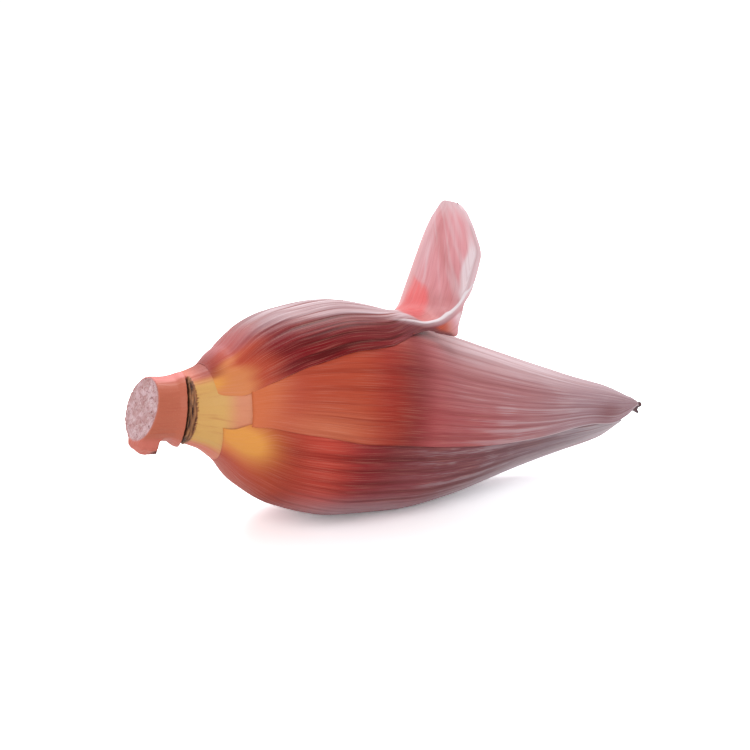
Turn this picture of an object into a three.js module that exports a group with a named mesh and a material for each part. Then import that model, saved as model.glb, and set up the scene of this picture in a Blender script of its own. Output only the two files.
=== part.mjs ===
// Banana blossom: a cut stem, four overlapping outer bracts round a closed bud, and the
// hand of florets that the lifted bract covers. Millimetres, +Z up, +X towards the tip.
//
// Everything is laid out round the blossom's own axis: s is the distance from the cut face
// towards the tip, and theta is the angle round the axis in degrees, 0 at the front (-Y),
// 90 on top, 180 at the back. Each bract lies on the ones beneath it, so its radius is the
// core's plus the thickness of whatever it covers.

import * as THREE from 'three';

// Driving dimensions, mm and degrees
const LENGTH = 270;
const BELLY_RADIUS = 50;
const STEM_RADIUS = 14.3;
const TILT = 7.7; // the axis runs down towards the tip by this much as the blossom lies
const BRACT_THICKNESS = 1.8;
const MARGIN_THICKNESS = 0.6;
const GAP = 0.45; // clearance between neighbours
const BUD_GAP = 0.9; // and between the bud and the bracts round it
const MARGIN_FALL = 12; // a covering bract comes down over this much beyond a margin
const BELLY_FLAT = 1.2; // how far the belly is pressed flat where it rests
const BUD_START = 46; // the stem's swollen end meets the closed bud here
const CUT_TILT = 13; // the cut face looks up by this much
const CUT_TURN = 4; // and towards the front by this much

// The free end of the lifted bract, bent up across the bud
const BEND_AT = 131; // s of the bend line on the bract's midrib
const BEND_OBLIQUE = -8; // turn of the bend line
const BEND_RADIUS = 9;
const BEND_ANGLE = 75;
const BLADE_END = 190; // length of the bract from the cut face, as if it lay straight
const RIDGE_FOLD = 60; // how far the front strip folds back along its ridge
const FLAP_FOLD = 25; // and how much further its margin folds at the bend
const MIDRIB = 100; // theta of the lifted bract's midrib

const FLORETS = 7;
const FLORET_RADIUS = 2.9;
const FLORET_START = 50;
const FLORET_END = 98;
const FLORET_FIRST = 74; // theta of the frontmost floret and of the rearmost
const FLORET_LAST = 128;

const radians = THREE.MathUtils.degToRad;
const smooth = (from, to, x) => THREE.MathUtils.smoothstep(x, from, to);
const mix = THREE.MathUtils.lerp;

// A smooth curve through a few (x, y) points that never overshoots them.
function curve(points) {
  const slope = points.map((_, i) => {
    if (i === 0 || i === points.length - 1) return 0;
    const [x0, y0] = points[i - 1];
    const [x1, y1] = points[i];
    const [x2, y2] = points[i + 1];
    const before = (y1 - y0) / (x1 - x0);
    const after = (y2 - y1) / (x2 - x1);
    return before * after <= 0 ? 0 : (2 * before * after) / (before + after);
  });
  return (x) => {
    if (x <= points[0][0]) return points[0][1];
    const last = points.length - 1;
    if (x >= points[last][0]) return points[last][1];
    const i = points.findIndex((p) => x < p[0]) - 1;
    const [x0, y0] = points[i];
    const [x1, y1] = points[i + 1];
    const h = x1 - x0;
    const t = (x - x0) / h;
    const rest = 1 - t;
    return (
      y0 * (1 + 2 * t) * rest * rest +
      y1 * t * t * (3 - 2 * t) +
      h * (slope[i] * t * rest * rest - slope[i + 1] * t * t * rest)
    );
  };
}

// ---- The blossom's outline

const envelope = curve([
  [0, STEM_RADIUS],
  [14, STEM_RADIUS + 0.8],
  [26, 18.5],
  [36, 26],
  [48, 37],
  [64, 45],
  [90, BELLY_RADIUS],
  [120, 48],
  [150, 41],
  [185, 30],
  [220, 20],
  [245, 13],
  [260, 6.5],
  [LENGTH, 1.6],
]);
// Sideways bow of the axis, upwards positive
const bow = curve([
  [0, 0], [20, 0.8], [38, 1.4], [64, 0.5], [100, 0], [160, -3], [230, -2.6], [LENGTH, -1],
]);
// Depth of the bracts that cover the core
const cover = curve([[28, 0], [50, 4.9], [200, 4.4], [245, 2.9], [262, 1.2], [LENGTH, 0]]);
const BELLY_COVER = 0.6; // share of that depth on the belly, where fewer bracts overlap
// Hollow on top that leaves room for the florets, and a lower crest under the bend
const floretHollow = curve([[44, 0], [58, 7.5], [98, 7.5], [112, 3.6], [150, 1.4], [190, 0]]);

const wrap = (angle) => ((((angle + 180) % 360) + 360) % 360) - 180;

function core(s, theta) {
  const off = Math.abs(wrap(theta - MIDRIB - 10));
  const down = 0.5 - 0.5 * Math.sin(radians(theta));
  const depth = cover(s) * mix(1, BELLY_COVER, down ** 1.5);
  return envelope(s) - depth - floretHollow(s) * (1 - smooth(22, 66, off));
}

// A point at radius r, angle theta, station s
function place(s, theta, r) {
  const a = radians(theta);
  return new THREE.Vector3(s, -r * Math.cos(a), r * Math.sin(a) + bow(s));
}

// ---- The bracts that lie closed, from the innermost out.
// low and high are the angles, along s, from the bract's middle to its margins at the
// lower and the higher theta.

const CLOSED_BRACTS = [
  {
    name: 'back_bract',
    colour: 0x8a3a44,
    middle: 182,
    base: (a) => 40 + 0.03 * Math.abs(a),
    tip: 262,
    low: curve([[40, 50], [60, 76], [120, 82], [200, 84], [240, 70]]),
    high: curve([[40, 50], [60, 72], [120, 78], [200, 80], [240, 70]]),
  },
  {
    name: 'under_bract',
    colour: 0x7c3038,
    middle: -68,
    base: (a) => 34 - 0.06 * a,
    tip: 257,
    low: curve([[34, 64], [60, 78], [120, 82], [200, 78], [240, 64]]),
    high: curve([[31, 56], [40, 66], [50, 78], [120, 80], [200, 74], [240, 66]]),
  },
  {
    name: 'front_bract',
    colour: 0xa8483a,
    middle: 50,
    base: () => 40,
    tip: 265,
    low: curve([[40, 59], [47, 52], [64, 52], [90, 55], [140, 57], [200, 63], [230, 58]]),
    high: curve([[40, 40], [60, 70], [100, 80], [200, 84], [240, 74]]),
  },
];
const TIP_ROUNDING = 26; // mm over which a bract's margins curve in to its tip
const BLUNT = 0.16; // share of its width that the very tip keeps

function halfAngle(bract, s, side) {
  const width = side < 0 ? bract.low(s) : bract.high(s);
  const along = Math.max(0, s - (bract.tip - TIP_ROUNDING)) / TIP_ROUNDING;
  return width * Math.max(BLUNT, Math.sqrt(Math.max(0, 1 - along * along)));
}

function edgeDistance(bract, s, theta) {
  const a = wrap(theta - bract.middle);
  const across = radians(halfAngle(bract, s, a) - Math.abs(a)) * envelope(s);
  return Math.min(across, s - bract.base(a), bract.tip - s);
}

const thickness = (inside) =>
  mix(MARGIN_THICKNESS, BRACT_THICKNESS, smooth(0, 14, Math.max(0, inside)));

// How much a bract lifts whatever lies over it
function rise(bract, s, theta) {
  const inside = edgeDistance(bract, s, theta);
  if (inside >= 0) return thickness(inside) + GAP;
  return (MARGIN_THICKNESS + GAP) * (1 - smooth(0, MARGIN_FALL, -inside));
}

// Inner radius of the bract that lies over the first few of CLOSED_BRACTS
function seat(layer, s, theta) {
  let r = core(s, theta) + mix(GAP, BUD_GAP, smooth(BUD_START - 12, BUD_START, s));
  for (const bract of CLOSED_BRACTS.slice(0, layer)) r += rise(bract, s, theta);
  return r;
}

// ---- Solids

function solid(points, faces) {
  const geometry = new THREE.BufferGeometry();
  const position = new Float32Array(points.flatMap((p) => [p.x, p.y, p.z]));
  geometry.setAttribute('position', new THREE.BufferAttribute(position, 3));
  geometry.setIndex(faces.flat());
  geometry.computeVertexNormals();
  return geometry;
}

// A closed body from rings of points, each capped end fanned from its centre
function ringBody(rings) {
  const sides = rings[0].length;
  const points = rings.flat();
  const faces = [];
  for (let i = 0; i + 1 < rings.length; i++) {
    for (let j = 0; j < sides; j++) {
      const a = i * sides + j;
      const b = i * sides + ((j + 1) % sides);
      faces.push([a, b + sides, b], [a, a + sides, b + sides]);
    }
  }
  for (const end of [0, rings.length - 1]) {
    const centre = points.length;
    const middle = new THREE.Vector3();
    for (const p of rings[end]) middle.addScaledVector(p, 1 / sides);
    points.push(middle);
    for (let j = 0; j < sides; j++) {
      const a = end * sides + j;
      const b = end * sides + ((j + 1) % sides);
      faces.push(end === 0 ? [centre, a, b] : [centre, b, a]);
    }
  }
  return solid(points, faces);
}

// A closed shell from an outer and an inner grid of points of the same size
function shellBody(outer, inner) {
  const rows = outer.length;
  const columns = outer[0].length;
  const points = [...outer.flat(), ...inner.flat()];
  const at = (i, j) => i * columns + j;
  const lower = rows * columns;
  const faces = [];
  for (let i = 0; i + 1 < rows; i++) {
    for (let j = 0; j + 1 < columns; j++) {
      const [a, b, c, d] = [at(i, j), at(i, j + 1), at(i + 1, j + 1), at(i + 1, j)];
      faces.push([a, c, b], [a, d, c]);
      faces.push([lower + a, lower + b, lower + c], [lower + a, lower + c, lower + d]);
    }
  }
  const rim = [];
  for (let j = 0; j < columns - 1; j++) rim.push(at(0, j));
  for (let i = 0; i < rows - 1; i++) rim.push(at(i, columns - 1));
  for (let j = columns - 1; j > 0; j--) rim.push(at(rows - 1, j));
  for (let i = rows - 1; i > 0; i--) rim.push(at(i, 0));
  rim.forEach((a, k) => {
    const b = rim[(k + 1) % rim.length];
    faces.push([a, lower + b, lower + a], [a, b, lower + b]);
  });
  return solid(points, faces);
}

const steps = (count, make) => Array.from({ length: count + 1 }, (_, i) => make(i / count));

// ---- The surface that the blossom lies on, in its own tilted frame

const heightOf = (p) => p.z * Math.cos(radians(TILT)) - p.x * Math.sin(radians(TILT));

function pressFlat(points, floor) {
  for (const p of points) {
    p.z += Math.max(0, floor - heightOf(p)) / Math.cos(radians(TILT));
  }
}

// ---- Closed bracts

function closedBract(layer) {
  const bract = CLOSED_BRACTS[layer];
  const grid = (outer) =>
    steps(26, (u) =>
      steps(20, (v) => {
        const side = 2 * v - 1;
        const reach = side * halfAngle(bract, bract.tip - TIP_ROUNDING, side);
        const start = bract.base(reach);
        const s = mix(start, bract.tip, u ** 1.15);
        const theta = bract.middle + side * halfAngle(bract, s, side);
        const inner = seat(layer, s, theta);
        return place(s, theta, inner + (outer ? thickness(edgeDistance(bract, s, theta)) : 0));
      }),
    );
  return { outer: grid(true), inner: grid(false) };
}

// ---- Lifted bract: it hugs the bud, then its free end folds up and stands as a blade

const bladeFront = curve([
  [24, 22], [30, 28.5], [38, 37], [51, 48.5], [60, 49.5], [72, 48], [90, 46.5], [104, 43],
  [118, 34], [130, 26.5], [142, 25], [154, 29], [168, 27], [180, 17], [186, 10], [BLADE_END, 2],
]);
const bladeRear = curve([
  [24, 19], [38, 29], [51, 46], [69, 50], [90, 48], [112, 40], [130, 31], [150, 29], [166, 27],
  [180, 20], [BLADE_END, 12],
]);
const stripWidth = curve([[90, 10], [125, 8], [150, 5], [BLADE_END, 3]]);
const flapWidth = curve([[118, 0], [129, 8], [138, 8], [150, 0]]);
const liftedFront = (s) => bladeFront(s) + flapWidth(s);
const CREST = 45; // height of the midrib over the axis at the bend
const REAR_CURVE = 45; // radius across the rear half of the blade
const FRONT_CURVE = 120; // and across its flatter front half

const ridgeAt = (s) => stripWidth(s) - bladeFront(s);

// Shape across the freed bract: it turns as its distance w from the midrib grows,
// its front strip folds back along a ridge, and the flap beyond that strip folds further
function acrossBlade(w, s) {
  const ridge = ridgeAt(s);
  const flap = -bladeFront(s);
  const count = 36;
  let y = 0;
  let z = 0;
  for (let i = 0; i < count; i++) {
    const at = (w * (i + 0.5)) / count;
    const arc = at / (at < 0 ? FRONT_CURVE : REAR_CURVE);
    const fold = RIDGE_FOLD * (1 - smooth(ridge - 3, ridge + 3, at)) +
      FLAP_FOLD * (1 - smooth(flap - 2, flap + 2, at));
    const heading = arc - radians(fold);
    y += (w / count) * Math.cos(heading);
    z -= (w / count) * Math.sin(heading);
  }
  return [y, CREST + z];
}

// Bend upwards about an oblique line across the bract
function bendUp(s, y, z) {
  const oblique = radians(BEND_OBLIQUE);
  const past = (s - BEND_AT - Math.tan(oblique) * y) * Math.cos(oblique);
  if (past <= 0) return [s, y, z];
  const full = radians(BEND_ANGLE);
  const turn = Math.min(past / BEND_RADIUS, full);
  const beyond = past - turn * BEND_RADIUS;
  const arm = BEND_RADIUS + CREST - z;
  const shift = arm * Math.sin(turn) + beyond * Math.cos(turn) - past;
  const height = CREST + BEND_RADIUS - arm * Math.cos(turn) + beyond * Math.sin(turn);
  return [s + shift * Math.cos(oblique), y - shift * Math.sin(oblique), height];
}

const LIFTED_START = 27;
const liftedBase = (w) => LIFTED_START + 0.004 * w * w;

// Distance from the midrib of the share v of the way across, with columns along the ridge
const STRIP_SHARE = 1 / 3;

function liftedAcross(s, v) {
  if (v < STRIP_SHARE) return mix(-liftedFront(s), ridgeAt(s), v / STRIP_SHARE);
  return mix(ridgeAt(s), bladeRear(s), (v - STRIP_SHARE) / (1 - STRIP_SHARE));
}

// Rows along the bract lie closest together round the bend
const liftedRow = curve([[0, LIFTED_START], [0.36, 118], [0.76, 152], [1, BLADE_END]]);

function liftedInside(w, s) {
  const start = liftedBase(w);
  return Math.min(w + liftedFront(s), bladeRear(s) - w, s - start, BLADE_END - s);
}

// Inner radius of the lifted bract where it still hugs the bud
function liftedSeat(s, theta, inside) {
  const resting = seat(CLOSED_BRACTS.length, s, theta);
  const puffed = envelope(s) - BRACT_THICKNESS;
  return mix(resting, Math.max(resting, puffed), smooth(0, 14, inside));
}

function liftedPoint(s, w) {
  const middle = radians(MIDRIB);
  const theta = MIDRIB + THREE.MathUtils.radToDeg(w / envelope(s));
  const hug = liftedSeat(s, theta, liftedInside(w, s));
  const around = radians(theta - MIDRIB);
  const free = acrossBlade(w, s);
  const freed = smooth(94, BEND_AT + 4, s);
  const lift = bow(s) * (1 - freed);
  const [along, y, z] = bendUp(
    s,
    mix(hug * Math.sin(around), free[0], freed),
    mix(hug * Math.cos(around), free[1], freed),
  );
  const point = new THREE.Vector3(
    along,
    -z * Math.cos(middle) + y * Math.sin(middle),
    z * Math.sin(middle) + y * Math.cos(middle) + lift,
  );
  return keepClear(point);
}

// Nothing sinks into the bracts beneath: a point that would is moved out to their surface
function keepClear(point) {
  if (point.x > LENGTH) return point;
  const up = point.z - bow(point.x);
  const radius = Math.hypot(point.y, up);
  const theta = THREE.MathUtils.radToDeg(Math.atan2(up, -point.y));
  const needed = seat(CLOSED_BRACTS.length, point.x, theta);
  if (radius >= needed) return point;
  return place(point.x, theta, needed);
}

function liftedBract() {
  const parameters = steps(38, (u) =>
    steps(24, (v) => {
      const row = liftedRow(u);
      const w = liftedAcross(row, v);
      const s = row + (liftedBase(w) - LIFTED_START) * (1 - smooth(LIFTED_START, 60, row));
      return { s, w };
    }),
  );
  const inner = parameters.map((row) => row.map(({ s, w }) => liftedPoint(s, w)));
  const rows = inner.length;
  const columns = inner[0].length;
  const outer = inner.map((row, i) =>
    row.map((p, j) => {
      const ahead = inner[Math.min(i + 1, rows - 1)][j];
      const behind = inner[Math.max(i - 1, 0)][j];
      const right = row[Math.min(j + 1, columns - 1)];
      const left = row[Math.max(j - 1, 0)];
      const along = ahead.clone().sub(behind);
      const normal = right.clone().sub(left).cross(along).negate().normalize();
      const { s, w } = parameters[i][j];
      return p.clone().addScaledVector(normal, thickness(liftedInside(w, s)));
    }),
  );
  return { outer, inner };
}

// ---- Stem, bud and florets

// Outer radius of the stem: a thick collar is left where older bracts fell away,
// and a stub of a side bract stands out by the cut
function stemRadius(s, theta) {
  const scar = smooth(11, 15.5, s) * (1 - smooth(15.7, 17, s));
  const collar = 0.9 * scar * (1 - smooth(70, 100, Math.abs(wrap(theta))));
  const stub = 5.5 * Math.exp(-((wrap(theta + 80) / 23) ** 4)) * (1 - smooth(6.5, 10, s));
  const waist = -0.4 * smooth(0, 9, s) * (1 - smooth(9, 20, s));
  return (s < BUD_START ? core(s, theta) : core(BUD_START, theta)) + collar + stub + waist;
}

function stemBody() {
  const sides = 32;
  const stations = [0, 3, 6.5, 8.5, 10, 13, 15.5, 17, 20, 24, 28, 31, 34, 37, 40, 43, BUD_START];
  const rings = stations.map((station) =>
    steps(sides - 1, (v) => {
      const theta = v * 360 * (1 - 1 / sides);
      const r = stemRadius(station, theta);
      const a = radians(theta);
      const slant = r * (Math.sin(a) * Math.tan(radians(CUT_TILT)) +
        Math.cos(a) * Math.tan(radians(CUT_TURN)));
      const s = station + slant * (1 - smooth(0, 15, station));
      return place(s, theta, r);
    }),
  );
  return ringBody(rings);
}

function budBody() {
  const sides = 36;
  const stations = steps(26, (u) => mix(BUD_START + GAP, LENGTH, u));
  const rings = stations.map((s) =>
    steps(sides - 1, (v) => {
      const theta = v * 360 * (1 - 1 / sides);
      return place(s, theta, core(s, theta));
    }),
  );
  return ringBody(rings);
}

function floretBody(index) {
  const theta = mix(FLORET_FIRST, FLORET_LAST, index / (FLORETS - 1));
  const sides = 8;
  const rings = steps(9, (u) => {
    const s = mix(FLORET_START, FLORET_END - 3 * (index % 2), u);
    const floor = seat(CLOSED_BRACTS.length, s, theta) + GAP;
    const w = radians(theta - MIDRIB) * envelope(s);
    const roof = liftedSeat(s, theta, liftedInside(w, s)) - GAP;
    const shape = FLORET_RADIUS * (0.72 + 0.28 * Math.cos(u * Math.PI * 1.6)) *
      smooth(-0.12, 0.1, u) * (1 - 0.75 * smooth(0.86, 1.04, u));
    const r = Math.min(shape, (roof - floor) / 2);
    const centre = floor + r;
    return steps(sides - 1, (v) => {
      const a = v * 2 * Math.PI * (1 - 1 / sides);
      const radius = centre + r * Math.cos(a);
      const across = THREE.MathUtils.radToDeg((r * Math.sin(a)) / centre);
      return place(s, theta + across, radius);
    });
  });
  return ringBody(rings);
}

// ---- Assembly

const blossom = new THREE.Group();
blossom.name = 'banana_blossom';
blossom.rotation.y = radians(TILT);

function add(name, geometry, colour, roughness) {
  const material = new THREE.MeshStandardMaterial({ color: colour, roughness, metalness: 0 });
  const mesh = new THREE.Mesh(geometry, material);
  mesh.name = name;
  blossom.add(mesh);
}

const closed = CLOSED_BRACTS.map((_, layer) => closedBract(layer));
const belly = closed.flatMap((bract) => bract.outer.flat());
const floor = Math.min(...belly.map(heightOf)) + BELLY_FLAT;
pressFlat(belly, floor);

add('stem', stemBody(), 0xc98a62, 0.6);
add('bud', budBody(), 0xb8606a, 0.5);
CLOSED_BRACTS.forEach((bract, layer) => {
  add(bract.name, shellBody(closed[layer].outer, closed[layer].inner), bract.colour, 0.45);
});
const lifted = liftedBract();
add('lifted_bract', shellBody(lifted.outer, lifted.inner), 0xd87a84, 0.45);
for (let i = 0; i < FLORETS; i++) {
  add(`floret_${String(i + 1).padStart(2, '0')}`, floretBody(i), 0xe8d8a0, 0.6);
}

// The origin is the middle of the bounding box, on the surface that the blossom lies on
const bounds = new THREE.Box3().setFromObject(blossom, true);
blossom.position.set(
  -(bounds.min.x + bounds.max.x) / 2,
  -(bounds.min.y + bounds.max.y) / 2,
  -bounds.min.z,
);
blossom.updateMatrixWorld(true);

export default blossom;
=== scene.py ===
# %% [markdown]
# # Banana blossom
# A banana blossom is the closed flower bud of a banana plant, cut off with a short piece of its
# stem. Thick waxy bracts wrap it like the leaves of an artichoke, and each covers a hand of
# young florets. Here four outer bracts show. The topmost one has come loose, and its free end
# stands up as a pink blade.
#
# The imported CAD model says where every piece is. This script makes the skins: it repeats the
# layout that the CAD pieces share, and adds the ribs, veins, bloom, torn fibres and colours.

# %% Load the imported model
from bisect import bisect_right
from collections import namedtuple
from math import atan2, cos, degrees, exp, hypot, pi, radians, sin, sqrt, tan, tau

import bmesh
import bpy
from mathutils import Matrix, Vector, noise

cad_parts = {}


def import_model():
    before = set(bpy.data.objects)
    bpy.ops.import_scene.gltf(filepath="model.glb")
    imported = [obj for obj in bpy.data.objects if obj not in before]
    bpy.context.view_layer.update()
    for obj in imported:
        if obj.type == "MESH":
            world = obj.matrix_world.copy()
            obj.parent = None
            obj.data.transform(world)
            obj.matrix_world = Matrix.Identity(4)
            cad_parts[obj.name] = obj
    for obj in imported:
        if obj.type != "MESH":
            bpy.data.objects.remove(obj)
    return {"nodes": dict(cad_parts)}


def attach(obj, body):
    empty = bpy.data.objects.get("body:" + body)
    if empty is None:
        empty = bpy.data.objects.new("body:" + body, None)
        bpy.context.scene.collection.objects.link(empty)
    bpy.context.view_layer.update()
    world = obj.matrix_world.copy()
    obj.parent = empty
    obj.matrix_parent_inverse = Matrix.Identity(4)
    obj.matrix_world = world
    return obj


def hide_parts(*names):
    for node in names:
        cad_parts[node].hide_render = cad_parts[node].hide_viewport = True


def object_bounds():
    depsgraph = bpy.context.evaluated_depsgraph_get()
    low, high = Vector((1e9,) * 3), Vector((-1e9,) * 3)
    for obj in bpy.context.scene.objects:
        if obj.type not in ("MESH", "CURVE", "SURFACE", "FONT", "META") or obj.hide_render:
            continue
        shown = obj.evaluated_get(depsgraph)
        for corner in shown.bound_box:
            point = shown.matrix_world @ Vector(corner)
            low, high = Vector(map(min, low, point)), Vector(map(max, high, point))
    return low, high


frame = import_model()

cad_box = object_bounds()
print("CAD box, metres:", [round(c, 4) for corner in cad_box for c in corner])

# %% [markdown]
# ## Small tools
# Grown shapes are described here by smooth curves through a few chosen points, and by soft
# steps between two states. The curve is a monotone cubic: unlike a Bezier spline through the
# same points it never swings past them, so a stem can't bulge by accident.

# %% Soft steps, mixes, curves and noise
MM = 0.001


def rise(start, end, x):
    """0 up to start and 1 from end on, with a soft step between."""
    t = min(1.0, max(0.0, (x - start) / (end - start)))
    return t * t * (3 - 2 * t)


def fade(start, end, x):
    return 1 - rise(start, end, x)


def mix(a, b, t):
    return a + (b - a) * t


def hump(x, middle, width):
    """A soft spot of the given width, 1 in its middle."""
    return exp(-((x - middle) / width) ** 2)


def curve(*points):
    """A smooth curve through a few (x, y) points that never overshoots them."""
    xs, ys = zip(*points)
    rises = [(ys[i + 1] - ys[i]) / (xs[i + 1] - xs[i]) for i in range(len(xs) - 1)]
    slopes = [0.0]
    for before, after in zip(rises, rises[1:]):
        slopes.append(2 * before * after / (before + after) if before * after > 0 else 0.0)
    slopes.append(0.0)

    def at(x):
        if x <= xs[0]:
            return ys[0]
        if x >= xs[-1]:
            return ys[-1]
        i = bisect_right(xs, x) - 1
        h = xs[i + 1] - xs[i]
        t = (x - xs[i]) / h
        rest = 1 - t
        return (ys[i] * (1 + 2 * t) * rest * rest + ys[i + 1] * t * t * (3 - 2 * t)
                + h * (slopes[i] * t * rest * rest - slopes[i + 1] * t * t * rest))

    return at


def wrap(angle):
    """The same angle between -180 and 180 degrees."""
    return (angle + 180) % 360 - 180


def lumps(x, y, z):
    """Smooth noise, from about -1 to 1."""
    return noise.noise(Vector((x, y, z)))


# %% [markdown]
# ## The blossom's own axis
# Places are given along the blossom: `s` is the distance in millimetres from the cut face, and
# `theta` the angle round the axis in degrees, 0 at the front, 90 on top. The blossom lies with
# its axis tilted a little down towards the tip. The bud's last vertex in the CAD model shows
# where that tip is, and everything else is placed from there.

# %% Driving sizes, in millimetres and degrees
LENGTH = 270
BELLY_RADIUS = 50
STEM_RADIUS = 14.3
TILT = radians(7.7)
BRACT_THICKNESS = 1.8
MARGIN_THICKNESS = 0.6
GAP = 0.45  # between a bract and the next one over it
BUD_GAP = 0.9
MARGIN_FALL = 12  # over which a bract comes down beyond the margin beneath it
BUD_START = 46
TIP_HEIGHT = 0.6  # of the last vertex above the axis

turned = Matrix.Rotation(TILT, 3, "Y")
tip = max((v.co for v in frame["nodes"]["bud"].data.vertices), key=lambda co: co.x)
cut_centre = tip - turned @ Vector((LENGTH, 0, TIP_HEIGHT)) * MM
print("centre of the cut face:", [round(c, 4) for c in cut_centre])


def world(s, y, z):
    """A point given along, across and above the axis, as it lies on the table."""
    point = cut_centre + turned @ Vector((s, y, z)) * MM
    point.z = max(point.z, 0.0)
    return point


# %% The outline along the axis
envelope = curve((0, STEM_RADIUS), (14, STEM_RADIUS + 0.8), (26, 18.5), (36, 26), (48, 37),
                 (64, 45), (90, BELLY_RADIUS), (120, 48), (150, 41), (185, 30), (220, 20),
                 (245, 13), (260, 6.5), (LENGTH, 1.6))
bow = curve((0, 0), (20, 0.8), (38, 1.4), (64, 0.5), (100, 0), (160, -3), (230, -2.6),
            (LENGTH, -1))
cover = curve((28, 0), (50, 4.9), (200, 4.4), (245, 2.9), (262, 1.2), (LENGTH, 0))
floret_hollow = curve((44, 0), (58, 7.5), (98, 7.5), (112, 3.6), (150, 1.4), (190, 0))
BELLY_COVER = 0.6  # share of the cover that is left below, where the bracts are pressed
MIDRIB = 100  # theta of the lifted bract's middle
HOLLOW_MIDDLE = MIDRIB + 10
print("radius every 30 mm:", [round(envelope(s), 1) for s in range(0, LENGTH + 1, 30)])


def core(s, theta):
    """Radius of what the bracts wrap: the stem's swollen end, then the closed bud."""
    down = 0.5 - 0.5 * sin(radians(theta))
    depth = cover(s) * mix(1, BELLY_COVER, down ** 1.5)
    off = abs(wrap(theta - HOLLOW_MIDDLE))
    return envelope(s) - depth - floret_hollow(s) * fade(22, 66, off)


def place(s, theta, r):
    a = radians(theta)
    return world(s, -r * cos(a), r * sin(a) + bow(s))


# %% [markdown]
# ## How bracts lie on each other
# A bract grows out of the stem: at its base it is flush with the stem, further on it is a
# leathery sheet nearly two millimetres thick, and towards its margins it thins out. The next
# bract rests on it, so it is lifted by that thickness and comes down again past the margin.
# A draped cloth simulation could find the same shape, but the layers are so regular that
# adding up thicknesses is exact and quick.

# %% The closed bracts, from the innermost out
Bract = namedtuple("Bract", "name middle base tip low high")

CLOSED = [
    Bract("back_bract", 182, lambda a: 40 + 0.03 * abs(a), 262,
          curve((40, 50), (60, 76), (120, 82), (200, 84), (240, 70)),
          curve((40, 50), (60, 72), (120, 78), (200, 80), (240, 70))),
    Bract("under_bract", -68, lambda a: 34 - 0.06 * a, 257,
          curve((34, 64), (60, 78), (120, 82), (200, 78), (240, 64)),
          curve((31, 56), (40, 66), (50, 78), (120, 80), (200, 74), (240, 66))),
    Bract("front_bract", 50, lambda a: 40, 268.5,
          curve((40, 54), (47, 51.5), (64, 52), (90, 55), (140, 57), (200, 63), (230, 60),
                (255, 74)),
          curve((40, 40), (60, 70), (100, 80), (200, 84), (240, 74))),
]
TIP_ROUNDING = 18  # over which the margins curve in to the tip
BLUNT = 0.4  # share of its width that the very tip keeps
BASE_GROWTH = 9  # over which a bract parts from the stem
BASE_THICKNESS = 0.1
TUCK = 0.4  # how far a margin is pressed down
THINNING = 14  # width of the zone that thins out to a margin


# %% Widths, thicknesses and seats
def half_angle(bract, s, side):
    width = bract.low(s) if side < 0 else bract.high(s)
    along = max(0, s - (bract.tip - TIP_ROUNDING)) / TIP_ROUNDING
    return width * max(BLUNT, sqrt(max(0, 1 - along * along)))


def from_margin(bract, s, theta):
    a = wrap(theta - bract.middle)
    across = radians(half_angle(bract, s, a) - abs(a)) * envelope(s)
    return min(across, bract.tip - s)


def grown(bract, s, theta):
    """0 at the base, where the bract is still stem, to 1 where it is a sheet of its own."""
    return rise(0, BASE_GROWTH, s - bract.base(wrap(theta - bract.middle)))


def thickness(inside):
    return mix(MARGIN_THICKNESS, BRACT_THICKNESS, rise(0, THINNING, max(0, inside)))


def lift(bract, s, theta):
    """How much a bract raises whatever lies over it."""
    inside = from_margin(bract, s, theta)
    share = grown(bract, s, theta)
    if inside >= 0:
        return (thickness(inside) + GAP) * share
    return (MARGIN_THICKNESS + GAP) * fade(0, MARGIN_FALL, -inside) * share


def seat(layer, s, theta):
    """Inner radius of what lies over the first few of CLOSED."""
    r = core(s, theta) + BUD_GAP * rise(BUD_START - 12, BUD_START, s)
    return r + sum(lift(bract, s, theta) for bract in CLOSED[:layer])


for bract in CLOSED:
    print(bract.name, "is", round(bract.tip - bract.base(0)), "mm long")


# %% [markdown]
# ## Ribs
# The veins of a bract run lengthwise from base to tip and close up where it narrows. Their
# coarse ribs change the outline, so they are real geometry: slow noise across the bract that
# is stretched out along it. The finest veins are left to the material.

# %% Lengthwise ribs
def ribs(across, along, seed, coarse, fine):
    """Height of the ribs from about -1 to 1, by distance across and along in millimetres."""
    broad = lumps(across / coarse, along / 110, seed)
    narrow = lumps(across / fine, along / 60, seed + 7.3)
    return 1.5 * broad + 0.6 * narrow


# %% [markdown]
# ## Colours
# Colours are written as they look, in sRGB, and turned into the linear values that Blender
# mixes. Each bract blushes from yellow at its base over orange and red to mauve, and carries a
# pale waxy bloom. That slow change is worked out here for each vertex and stored in the mesh
# as the attribute `tone`, with the amount of bloom in `wax` and the ribs' height in `rib`.
# One more attribute holds the distance in millimetres from a crest or a margin, along which a
# highlight is painted pale. Painting by hand would do the same, but a rule can be changed and
# rerun.

# %% Named colours
def srgb(red, green, blue):
    def linear(c):
        c /= 255
        return c / 12.92 if c <= 0.04045 else ((c + 0.055) / 1.055) ** 2.4
    return Vector((linear(red), linear(green), linear(blue)))


YELLOW = srgb(224, 150, 72)
TAN = srgb(212, 128, 78)
NECK = srgb(212, 162, 94)
BLUSH = srgb(232, 130, 128)
STEM_BROWN = srgb(188, 100, 76)
ORANGE = srgb(208, 108, 66)
EMBER = srgb(182, 72, 48)
RED = srgb(160, 48, 36)
WINE = srgb(120, 8, 18)
PLUM = srgb(120, 50, 56)
ROSE = srgb(178, 84, 87)
MAUVE = srgb(175, 88, 91)
HEATHER = srgb(169, 118, 124)
LILAC = srgb(172, 137, 145)
BLOOM = srgb(230, 212, 218)
SALMON = srgb(240, 122, 124)
PINK = srgb(227, 158, 165)
SEPIA = srgb(204, 128, 132)
UMBER = srgb(60, 30, 24)


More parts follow.
